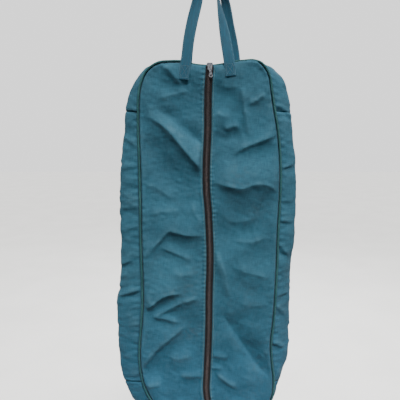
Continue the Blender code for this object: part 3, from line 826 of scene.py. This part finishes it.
def front_half(side):
    sign = SIGN[side]
    right = int(sign > 0)
    strokes = RIGHT_FOLDS if right else LEFT_FOLDS
    rows, columns = ROUGH_GRID
    top_mid, bottom_mid = TOP_MID[side], BOTTOM_MID[side]
    top_corner, bottom_corner = CORNER[side, "top"], CORNER[side, "bottom"]
    z = np.linspace(SEAM_Z[top_mid] - 1 * MM, SEAM_Z[bottom_mid] + 2 * MM, rows)
    inner = np.stack([zip_x(z) + sign * ZIP_HALF, z], axis=1)
    outer = edge_along(run(top_corner, bottom_corner, -sign), rows)
    top = edge_along(run(top_mid, top_corner, -sign), columns, inner[0], outer[0])
    bottom = edge_along(run(bottom_mid, bottom_corner, sign), columns, inner[-1], outer[-1])
    x, z = np.moveaxis(coons(inner, outer, top, bottom), 2, 0)
    distance, _ = to_seam(x, z)
    from_zip = beside_zip(x, z)
    calm = smooth(distance / 0.018) * smooth((from_zip + 1 * MM) / 0.012)
    waves = 2.2 * MM * ripples(x, z, 0.13, 11 + right) + 0.35 * MM * ripples(x, z, 0.045, 13 + right)
    height = (folds(x, z, strokes) + waves) * calm + swell(z) * smooth(distance / 0.06)
    over = height - TALL_FOLD
    height -= 0.25 * (over + np.sqrt(over**2 + (2.5 * MM) ** 2))
    coarse = triple(x, FACE_Y - height, z)
    held = 1.0 - smooth(np.minimum(distance - 2 * MM, from_zip + 1 * MM) / 0.02)
    held[:, [0, -1]] = held[[0, -1]] = 1
    shift = settle(coarse, 0.30 + 0.70 * held) - coarse
    shift = np.stack([blur(shift[..., k], 10) for k in range(3)], axis=2)
    reach = np.linalg.norm(shift, axis=2)[..., None]
    coarse = coarse + shift * np.minimum(1.0, 7 * MM / np.maximum(reach, 1e-9))
    grid, flat = finer(coarse, *FINE_GRID), finer(triple(x, z), *FINE_GRID)
    x, z = grid[..., 0], grid[..., 2]
    distance, seam_at = to_seam(x, z)
    from_zip = beside_zip(x, z)
    fine = hidden_depth(distance, seam_at)
    # puckers, the folded edge and the line of stitching beside the zip
    wave = np.sin(TAU * z / (10.5 * MM) + 2.2 * np.sin(z / (37 * MM) + sign))
    wave *= 0.55 + 0.45 * np.sin(z / (91 * MM) + 2 * sign)
    fine += 0.75 * MM * wave * bell((from_zip - 3 * MM) / (6 * MM)) * smooth(from_zip / (2 * MM))
    fine += 0.9 * MM * (1 - smooth((from_zip - 6.5 * MM) / (1.6 * MM)))
    fine -= 0.35 * MM * bell((from_zip - 2.6 * MM) / (0.9 * MM))
    fine += 0.22 * MM * ripples(x, z, 0.016, 21 + right, 18)
    # a pressed edge along each fold
    edges = [(points, min(1.5, 0.3 + 0.10 * rise), 7, 1.8, 0, 5) for points, rise, *_ in strokes if rise > 0]
    fine += folds(x, z, edges) * smooth(distance / 0.018) * smooth((from_zip - 1 * MM) / 0.008)
    grid[..., 1] -= fine
    # the panel never sinks through the tape sewn behind its edge
    across = from_zip + ZIP_HALF
    tape = TAPE_Y - swell(z) + tape_dip(across) - 1.5 * MM
    grid[..., 1] = np.minimum(grid[..., 1], tape + 1.1 * np.maximum(across - 18.6 * MM, 0))
    wear_and_highlight = curvature(-grid[..., 1])
    # painted shade: deep darkens the cloth in the groove beside the piping (less along the top, where the
    # panel rolls over it) and in the groove of the stitching beside the zip
    deep = 1 - smooth((distance - 2.4 * MM) / (2.2 * MM))
    deep *= 1 - 0.9 * rolled_over(x, z)
    deep = np.maximum(deep, 0.35 * bell((from_zip - 2.6 * MM) / (0.7 * MM)))
    # the raw edge turns under beside the zip
    tuck = np.repeat(grid[:, :1], 3, axis=1)
    tuck[..., 0] += sign * np.array([2.2, 0.4, -0.5]) * MM
    tuck[..., 1] += np.array([2.3, 1.9, 0.9]) * MM
    tuck_flat = np.repeat(flat[:, :1], 3, axis=1)
    tuck_flat[..., 0] -= sign * np.array([3, 2, 1]) * MM
    edge_wear = 0.5 + 0.4 * np.sin(tuck[..., 2] / (6 * MM))
    fields = {"wear_and_highlight": np.concatenate([edge_wear, wear_and_highlight], axis=1),
              "deep": np.concatenate([0 * edge_wear, deep], axis=1)}
    thing = shell(f"front_cloth_{side}", np.concatenate([tuck, grid], axis=1), CLOTH, CLOTH_MAT,
                  np.concatenate([tuck_flat, flat], axis=1), fields, flip=sign > 0)
    stand_for(thing, f"front_panel_{side}")
    follow_half(thing)


for side in SIGN:
    front_half(side)


# ---------------------------------------------------------------- gusset

# As strokes for folds, each from the front seam outwards: distance from the seam and z, in mm.
SIDE_CREASES = {
    "left": [
        ([(-2, -383), (16, -385), (40, -382), (60, -384)], 1.0, 8, 5, 0.4, 8),
        ([(2, -470), (22, -458), (44, -444)], 2.2, 9, 3.5, 2.2, 9),
        ([(4, -523), (26, -520), (52, -524)], 2.0, 10, 4, 1.2, 9),
        ([(0, -561), (24, -558), (46, -562)], 1.1, 10, 5, 0.8, 9),
        ([(-4, -624), (24, -620), (52, -621)], 1.8, 11, 5, 1.4, 10),
        ([(0, -661), (24, -671), (46, -684)], 1.6, 10, 4, 1.0, 9),
        ([(20, -752), (36, -758), (58, -768)], 3.0, 9, 3, 2.5, 8),
        ([(-2, -831), (20, -835), (44, -842), (66, -849)], 4.0, 11, 3, 3.2, 9),
        ([(16, -902), (30, -899), (56, -910)], 1.0, 10, 6, 0.5, 9),
        ([(0, -972), (30, -960), (52, -962)], 1.1, 12, 6, 0.6, 9),
        ([(6, -1018), (24, -1022), (44, -1014)], 1.1, 9, 5, 0.7, 9),
        ([(-2, -1068), (20, -1067), (50, -1069)], 1.0, 9, 4, 0.5, 9),
    ],
    "right": [
        ([(-2, -375), (16, -379), (34, -392), (44, -406)], 2.8, 9, 3.5, 1.6, 7),
        ([(2, -521), (20, -518), (38, -512)], 2.8, 8, 3.0, 2.4, 7),
        ([(-2, -605), (20, -601), (40, -603)], 1.3, 10, 5, 1.0, 8),
        ([(2, -650), (20, -654), (38, -656)], 2.2, 9, 3, 2.0, 8),
        ([(-2, -708), (12, -724), (34, -748)], 3.6, 9, 3.5, 4.0, 10),
        ([(0, -850), (20, -846), (38, -842)], 2.6, 8, 3, 2.2, 8),
        ([(-2, -868), (18, -888), (36, -908)], 2.8, 9, 3.5, 2.4, 9),
        ([(-4, -968), (14, -980), (36, -998)], 4.0, 10, 3.5, 4.0, 10),
        ([(8, -1040), (16, -1070), (10, -1110)], 2.2, 7, 4, 1.5, 7),
    ],
}


def gusset_grid(across, side_ness):
    """The gusset round the whole bag: across goes from -1 at its front seam to 1 at its back one."""
    front = on_ring(-0.4 * MM, GUSSET_FRONT_Y)
    back = on_ring(DRIFT, GUSSET_BACK_Y - lean(SEAM_Z))
    fold_y = 0.002 + 0.003 * np.sin(SEAM_LENGTH / 0.11) - 0.010 * smooth(-(SEAM_X + 0.10) / 0.06)
    fold_y += 0.007 * smooth((SEAM_X - 0.10) / 0.05) * smooth(-(SEAM_Z + 0.68) / 0.12)
    fold = triple(FOLD_XZ[:, 0], fold_y, FOLD_XZ[:, 1])
    soft = 0.16
    peak = 1 - (np.sqrt(across**2 + soft**2) - soft) / (math.sqrt(1 + soft**2) - soft)
    t = ((across + 1) / 2)[None, :, None]
    base = front[:, None] * (1 - t) + back[:, None] * t
    grid = base + (fold - (front + back) / 2)[:, None] * peak[None, :, None]
    # each flank bellies a little
    belly = (1 - np.abs(2 * np.abs(across) - 1) ** 2) * np.sign(across)
    grid[..., 1] += belly * (0.0035 * side_ness * (1 + 0.5 * np.sin(SEAM_LENGTH / 0.053)))[:, None]
    return grid


def gusset():
    across = np.linspace(-1, 1, 33)
    from_edge = 1 - np.abs(across)
    sides = smooth((np.abs(OUT[:, 0]) - 0.25) / 0.6)
    grid = gusset_grid(across, sides)
    sides = sides[:, None]
    reach = np.sqrt(np.linalg.norm(FOLD_XZ - SEAM_XZ, axis=1) ** 2 + 0.02**2)[:, None]
    u = (across + 1) * reach
    z = np.repeat(SEAM_Z[:, None], len(across), axis=1)
    normal = grid_normals(grid)
    if normal[:, 4, 1].mean() > 0:
        normal = -normal
    rng = np.random.default_rng(5)
    back_creases = []
    for _ in range(26):
        at, where = rng.uniform(-1090, -370), rng.uniform(58, 78)
        slant, long = rng.uniform(-14, 14), rng.uniform(16, 30)
        points = [(where - long, at - slant), (where, at), (where + long, at + slant)]
        back_creases.append((points, rng.uniform(1.0, 3.0), 9, 4, rng.uniform(0.5, 2.0), 9))
    on_left = SEAM_X < 0
    height = np.zeros_like(u)
    for part, side, back in ((on_left, "left", back_creases[:13]), (~on_left, "right", back_creases[13:])):
        height[part] = folds(u[part], z[part], SIDE_CREASES[side]) + folds(u[part], z[part], back)
    height *= sides
    around = SEAM_LENGTH[:, None] + 0 * u
    height += 0.9 * MM * ripples(around, u, 0.05, 31) + 0.3 * MM * ripples(around, u, 0.017, 32)
    tight = np.sin(TAU * SEAM_LENGTH / (17 * MM) + 2.0 * np.sin(SEAM_LENGTH / (59 * MM)))[:, None]
    height += 0.6 * MM * tight * bell((from_edge - 0.16) / 0.14)
    height *= smooth(from_edge / 0.12)
    # dark gaps along the seams and the two cross seams: the cross seams are sunk as grooves, and painted
    # shade darkens the cloth along all of them
    deep = 1 - smooth((from_edge * reach / MM - 2.8) / 2.6)
    for join, dark in ((JOIN_UPPER, 0.55 * sides * on_left[:, None]), (JOIN_LOWER, 0.5 * sides)):
        off = (z - join) / MM
        height += (0.5 * bell((np.abs(off) - 4) / 3.0) - 0.9 * bell(off / 1.3)) * MM * sides
        deep = np.maximum(deep, dark * bell(off))
    grid = grid + normal * height[..., None]
    wear_and_highlight = np.clip(blur(height, 2) / (2.2 * MM), 0, 1)
    wear_and_highlight = np.maximum(wear_and_highlight, 0.75 * bell(across / 0.10) * sides)

    left_up, left_down = nearest_station(-0.1685, JOIN_UPPER), nearest_station(-0.172, JOIN_LOWER)
    right_up, right_down = nearest_station(0.155, JOIN_UPPER), nearest_station(0.171, JOIN_LOWER)
    for name, first, last in (
        ("top", right_up, left_up), ("left", left_up, left_down),
        ("bottom", left_down, right_down), ("right", right_down, right_up),
    ):
        stations = run(first, last)
        part = grid[stations]
        along_it = lengths(SEAM_XZ[stations])
        inside_out = (grid_normals(part)[:, 4] * OUTWARD[stations]).sum() < 0
        # the start of each strip is tucked under the end of the one before it
        inner = normal[first] * 1.3 * MM
        part[0] += unit(part[0] - part[1]) * 1.6 * MM - inner
        part[1] -= inner * 0.9
        thing = shell(f"gusset_cloth_{name}", part, CLOTH, CLOTH_MAT, triple(u[stations], along_it[:, None]),
                      {"wear_and_highlight": wear_and_highlight[stations], "deep": deep[stations]}, flip=inside_out)
        stand_for(thing, f"gusset_{name}")
        follow_depth(thing)


gusset()


# ---------------------------------------------------------------- back panel

def back_panel():
    rows, columns = 300, 120
    left_top, left_bottom = CORNER["left", "top"], CORNER["left", "bottom"]
    right_top, right_bottom = CORNER["right", "top"], CORNER["right", "bottom"]
    left = edge_along(run(left_top, left_bottom), rows)
    right = edge_along(run(right_top, right_bottom, -1), rows)
    top = edge_along(run(left_top, right_top, -1), columns, left[0], right[0])
    bottom = edge_along(run(left_bottom, right_bottom), columns, left[-1], right[-1])
    x, z = np.moveaxis(coons(left, right, top, bottom), 2, 0)
    distance, seam_at = to_seam(x, z)
    rng = np.random.default_rng(8)
    strokes = []
    for _ in range(30):
        cx, cz = rng.uniform(-130, 130), rng.uniform(-1140, -330)
        angle, long = rng.uniform(-0.6, 0.6), rng.uniform(30, 75)
        bow = rng.uniform(-12, 12)
        dx, dz = long * math.cos(angle), long * math.sin(angle)
        points = [(cx - dx, cz - dz), (cx, cz + bow), (cx + dx, cz + dz)]
        ranges = ((1.5, 4.5), (10, 18), (4, 7), (1.0, 3.5), (9, 15))
        strokes.append((points, *(rng.uniform(*limits) for limits in ranges)))
    height = folds(x, z, strokes) + 1.8 * MM * ripples(x, z, 0.15, 41) + 0.6 * MM * ripples(x, z, 0.05, 42)
    height *= smooth(distance / 0.02)
    height += hidden_depth(distance, seam_at + 0.031) + 0.2 * MM * ripples(x, z, 0.017, 43, 18)
    grid = triple(x, BACK_Y - lean(z) + np.clip(height, -0.012, 0.0068), z)
    inside_out = grid_normals(grid)[..., 1].mean() < 0
    thing = shell("back_cloth", grid, CLOTH, BACK_MAT, triple(x, z), {"wear_and_highlight": curvature(grid[..., 1])},
                  flip=inside_out)
    stand_for(thing, "back_panel", "bag")


back_panel()


# ---------------------------------------------------------------- piping and inner binding

def ring(name, node, slot, body, line, section, material, wear_and_highlight=None):
    fields = {} if wear_and_highlight is None else {"wear_and_highlight": np.repeat(wear_and_highlight, len(section))}
    thing = tube(name, line, OUTWARD, FORWARD, section, material, closed=True, fields=fields)
    stand_for(thing, node, body)


WORN = 0.5 + 0.5 * np.sin(SEAM_LENGTH / 0.031) * np.sin(SEAM_LENGTH / 0.077 + 2)
ROLLED = rolled_over(SEAM_X, SEAM_Z)
PIPING = (
    ("front", "front", 0.3 * MM - 1.6 * MM * ROLLED,
     -0.0224 + 0.5 * MM * np.sin(SEAM_LENGTH / 0.043) + 4.6 * MM * ROLLED, 2.5 * MM),
    ("back", "bag", 0.9 * MM + DRIFT,
     0.0222 - lean(SEAM_Z) + 0.5 * MM * np.sin(SEAM_LENGTH / 0.052), 2.4 * MM),
)
for name, body, shift, y, radius in PIPING:
    ring(f"{name}_piping_cloth", f"{name}_piping", "piping", body, on_ring(shift, y),
         circle(radius, 14), PIPING_MAT, WORN)
for name, body, shift, y in (("front", "front", 0, -0.0168), ("back", "bag", DRIFT, 0.0168 - lean(SEAM_Z))):
    ring(f"{name}_binding_tape", f"{name}_seam_binding", "binding", body,
         on_ring(shift - 3.4 * MM, y), rounded(1.6 * MM, 4.4 * MM, 0.7 * MM), BINDING_MAT)


# ---------------------------------------------------------------- zip

def spread(z):
    """The coils part above the slider's middle, and meet below it."""
    return 0.26 * np.clip(z - (SLIDER_Z - 3 * MM), 0, 0.012)


def zip_side(side):
    sign = SIGN[side]
    top = SEAM_Z[TOP_MID[side]] - 2.5 * MM
    z = np.linspace(top, TAPE_BOTTOM, 460)[:, None]
    across = np.linspace(0.6 * MM, 18.0 * MM, 15)
    x = zip_x(z) + sign * (across + spread(z) * smooth(1 - across / (16 * MM)))
    y = TAPE_Y - swell(z) - 0.15 * MM * np.sin(z / (11 * MM)) * smooth(across / (6 * MM)) + tape_dip(across)
    y[:, 0] += 0.25 * MM
    grid = triple(x, y, z)
    inside_out = grid_normals(grid)[..., 1].mean() > 0
    tape = shell(f"zip_tape_{side}", grid, 0.55 * MM, TAPE_MAT, triple(across, z), flip=inside_out)
    stand_for(tape, f"zipper_tape_{side}")
    follow_half(tape)

    coil_top = top - 1.5 * MM
    per_turn = 12
    turn = np.arange(int((coil_top - COIL_BOTTOM) / COIL_PITCH) * per_turn + 1) / per_turn
    cz = coil_top - COIL_PITCH * turn - (COIL_PITCH / 2 if side == "right" else 0)
    # a flattened loop: head past the middle line, legs over the tape
    cx = 1.75 * MM - 2.05 * MM * np.cos(TAU * turn)
    head = smooth(-(cx - 0.7 * MM) / (0.9 * MM))
    lift = 0.95 * MM * np.sin(TAU * turn) * (1 - 0.25 * head)
    line = triple(zip_x(cz) + sign * (cx + spread(cz)), COIL_Y - swell(cz) - lift, cz)
    way = unit(np.gradient(line, axis=0))
    one = unit(np.cross(way, (0.0, 0.0, 1.0)))
    section = circle(0.42 * MM, 6)
    # the heads of the turns carry the coil material's painted highlight
    coil = tube(f"zip_coil_{side}", line, one, np.cross(one, way), section, COIL_MAT,
                fields={"wear_and_highlight": np.repeat(head, len(section))})
    stand_for(coil, f"zipper_coil_{side}")
    follow_half(coil)


for side in SIGN:
    zip_side(side)


def dropped(points, cloth, facing):
    """Points moved along Y onto the outer face of a cloth."""
    out = points.copy()
    for k, p in enumerate(points):
        hit, where, _, _ = cloth.ray_cast(Vector((p[0], 0.2 * facing, p[2])), Vector((0, -facing, 0)))
        if hit:
            out[k] = where
    return out


def zip_stitching(side):
    """Topstitching that holds each folded panel edge to its tape."""
    z = np.arange(TOP_Z - 0.013, -1.180, -3.1 * MM)
    row = triple(zip_x(z) + SIGN[side] * (ZIP_HALF + 2.6 * MM), 0, z)
    cloth = bpy.data.objects[f"front_cloth_{side}"]
    starts = dropped(row[:-1], cloth, -1)
    ends = dropped(row[:-1] + (row[1:] - row[:-1]) * 0.80, cloth, -1)
    thing = stitches(f"zip_topstitch_{side}", starts, ends, FORWARD[:len(starts)], 0.42 * MM, THREAD_MAT)
    follow_half(thing)


for side in SIGN:
    zip_stitching(side)


# ---------------------------------------------------------------- slider, tab and stops

def finer_copy(node, name, material, width, body, segments=2, shift=Matrix()):
    """The CAD piece with its edges rounded off."""
    thing = bpy.data.objects[node].copy()
    thing.data = thing.data.copy()
    thing.name = name
    for key in list(thing.keys()):
        del thing[key]
    bpy.context.collection.objects.link(thing)
    thing.hide_render = False
    thing.data.transform(shift)
    bevel = thing.modifiers.new("round", "BEVEL")
    bevel.width = width
    bevel.segments = segments
    bevel.limit_method = "ANGLE"
    bevel.angle_limit = math.radians(32)
    bpy.context.view_layer.update()
    finished = bpy.data.meshes.new_from_object(thing.evaluated_get(bpy.context.evaluated_depsgraph_get()))
    thing.modifiers.clear()
    thing.data = finished
    finished.name = name
    finished.polygons.foreach_set("use_smooth", np.ones(len(finished.polygons), bool))
    finished.set_sharp_from_angle(angle=math.radians(40))
    finished.materials.clear()
    finished.materials.append(material)
    thing.parent = None
    thing.matrix_world.identity()
    stand_for(thing, node, body)


hang = Vector((0.0, 0.0, SLIDER_Z))
tilt = Matrix.Translation(hang) @ Matrix.Rotation(math.radians(-7), 4, "Y") @ Matrix.Translation(-hang)
drop = Matrix.Translation((0, 0, -0.0055))
finer_copy("slider_body", "slider_casting", METAL_MAT, 0.32 * MM, "slider", 3)
finer_copy("pull_tab", "pull_tab_plate", METAL_MAT, 0.4 * MM, "tab", 3, tilt)
for side in SIGN:
    finer_copy(f"zipper_top_stop_{side}", f"top_stop_{side}", STOP_MAT, 0.3 * MM, "front", shift=drop)
finer_copy("zipper_bottom_stop", "bottom_stop", STOP_MAT, 0.35 * MM, "front")


# ---------------------------------------------------------------- handles

def strap(which, stations):
    """A strap as its object and its line, side and lift directions and length at each sample."""
    data = along(stations, 330, dims=3)
    line = data[:, :3] * MM
    way = unit(np.gradient(line, axis=0))
    turn = np.radians(data[:, 3])
    side = triple(np.cos(turn), np.sin(turn))
    side = unit(side - (side * way).sum(1)[:, None] * way)
    lift = np.cross(side, way)
    length = lengths(line)
    section = rounded(STRAP_WIDTH, STRAP_THICK, 0.95 * MM)
    # the section gains points across its flats, so that it can cup a little
    points = []
    for a, b in zip(section, np.roll(section, -1, axis=0)):
        count = 9 if np.linalg.norm(b - a) > 4 * MM else 1
        points += [a + (b - a) * k / count for k in range(count)]
    u, v = np.array(points).T
    from_end = np.minimum(length, length[-1] - length)[:, None]
    loose = smooth(from_end / 0.05 - 1.0) * np.sin(length / 0.045)[:, None]
    cup = 0.6 * MM * (1 - (2 * u / STRAP_WIDTH) ** 2) * loose
    pinched = u * (0.95 + 0.05 * smooth(from_end / 0.03))
    grid = line[:, None] + side[:, None] * pinched[..., None] + lift[:, None] * (v + cup)[..., None]
    wear_and_highlight = np.broadcast_to(np.abs(u) > STRAP_WIDTH / 2 - 1.6 * MM, grid.shape[:2])
    thing = add_object(f"{which}_handle_webbing", grid, tube_faces(*grid.shape[:2]), STRAP_MAT,
                       triple(u, length[:, None], v), {"wear_and_highlight": wear_and_highlight})
    stand_for(thing, f"{which}_handle")
    return thing, line, side, lift, length


def over_nail(y, turn):
    """The top of a loop, where the strap turns over the nail."""
    return [(x, y, z, turn) for x, z in ((-5.2, -4.0), (-3.7, -0.3), (0, 1.2), (3.7, -0.3), (5.2, -4.0))]


# x, y, z in mm, and the turn of the strap's width from X (0) towards Y (90), in degrees.
FRONT_LOOP = [
    (-61, -25.6, -317, 0), (-60, -25.8, -306, 0), (-57.5, -26.4, -290, 0), (-54, -26.8, -273, 0),
    (-48, -26.3, -229, 2), (-41, -25, -194, 6), (-28, -21.5, -143, 28), (-17, -18, -95, 62),
    (-9, -15.8, -50, 84), (-5.6, -15.2, -18, 90),
    *over_nail(-15.2, 90),
    (6.5, -15.4, -30, 90), (11, -16.5, -80, 84), (19.5, -19, -143, 72), (28, -22.5, -186, 42),
    (36, -25.2, -229, 16), (43, -26.6, -268, 3), (46, -26.4, -288, 0), (47.5, -25.9, -300, 0),
    (48.5, -25.6, -309, 0),
]
BACK_LOOP = [
    (-58, 19.0, -314, 0), (-57, 19.3, -300, 0), (-56, 19.6, -286, 0), (-54.5, 19.4, -272, 0),
    (-51.5, 18.4, -240, -3), (-45, 16.6, -200, -14), (-33, 15.6, -150, -42), (-19, 15.2, -95, -76),
    (-8.5, 15.2, -45, -90), (-5.6, 15.2, -18, -90),
    *over_nail(15.2, -90),
    (8, 15.2, -30, -90), (19, 15.4, -80, -78), (37, 15.8, -137, -44), (46.5, 16.6, -190, -20),
    (54.5, 18.0, -226, -8), (61, 19.4, -264, -2), (62, 19.6, -286, 0), (61.5, 19.3, -300, 0),
    (61, 19.0, -314, 0),
]


def handle(which, stations):
    thing, *curves, length = strap(which, stations)

    def place(where, offset, face):
        """Points on a face of the strap at distances along it, and the direction that they face."""
        point, side, lift = (
            np.stack([np.interp(where, length, values[:, k]) for k in range(3)], axis=1) for values in curves
        )
        return point + side * offset + lift * face * STRAP_THICK / 2, lift * face

    at = np.arange(0.004, length[-1] - 0.004, 3.3 * MM)
    rows = [(offset, face) for offset in (-10.0 * MM, 10.0 * MM) for face in (1, -1)]
    starts, out = (np.concatenate(part) for part in zip(*(place(at, *row) for row in rows)))
    ends = np.concatenate([place(at + 2.6 * MM, *row)[0] for row in rows])
    seams = stitches(f"{which}_handle_edge_stitch", starts, ends, out, 0.30 * MM, STRAP_THREAD_MAT)
    for piece in (thing, seams):
        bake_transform(piece)
    return thing


def box_stitching(which, side, centre, low, high, cloth, tilt):
    """A box with a cross in it, sewn through the strap's end."""
    name = f"{which}_handle_stitching_{side}"
    facing = -1 if which == "front" else 1
    half = 8.0 * MM
    corners = np.array([(-half, low), (half, low), (half, high), (-half, high)])
    starts, ends = [], []
    for first, last in ((0, 1), (1, 2), (2, 3), (3, 0), (0, 2), (1, 3)):
        way = corners[last] - corners[first]
        count = max(2, round(np.linalg.norm(way) / (2.8 * MM)))
        for store, part in ((starts, 0), (ends, 0.82)):
            x, z = (corners[first] + way * ((np.arange(count) + part) / count)[:, None]).T
            store.append(triple(centre + x + tilt * (z - low), 0, z))
    starts, ends = (dropped(np.concatenate(points), cloth, facing) for points in (starts, ends))
    out = FORWARD[:len(starts)] * -facing
    thing = stitches(f"{name}_thread", starts, ends, out, 0.40 * MM, STRAP_THREAD_MAT, 0.25)
    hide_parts(name)
    return thing


def patch(which, side, centre, y):
    """Reinforcement inside the panel, behind the end of a strap."""
    u, v = np.meshgrid(np.linspace(-1, 1, 22), np.linspace(-1, 1, 26))
    x = centre + u * 15.5 * MM * (1 - 0.02 * v**2)
    z = -0.3035 - v * 18.5 * MM + 0.3 * MM * np.sin(5 * u)
    bulge = 0.25 * MM * np.sin(3.1 * u + 2.0 * v) * (1 - u**2) * (1 - v**2)
    grid = triple(x, y + bulge, z)
    inside_out = grid_normals(grid)[..., 1].mean() < 0
    thing = shell(f"{which}_patch_{side}", grid, 0.7 * MM, BACK_MAT, triple(x, z), flip=inside_out)
    stand_for(thing, f"{which}_handle_patch_{side}")
    return thing


front_strap = handle("front", FRONT_LOOP)
back_strap = handle("back", BACK_LOOP)
# side, and the stitching's middle, lowest and highest point and tilt
for side, *place in (("left", -0.0605, -0.3125, -0.286, 0.13), ("right", 0.0480, -0.3045, -0.282, -0.12)):
    centre, low, high, slope = place
    follow_half(box_stitching("front", side, centre, low, high, front_strap, slope))
for side, centre, slope in (("left", -0.0578, 0.05), ("right", 0.0612, 0.03)):
    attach(box_stitching("back", side, centre, -0.3095, -0.286, back_strap, slope), "bag")
for side, centre in (("left", -0.057), ("right", 0.050)):
    follow_half(patch("front", side, centre, -0.0198))
for side, centre in (("left", -0.055), ("right", 0.055)):
    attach(patch("back", side, centre, 0.0150), "bag")
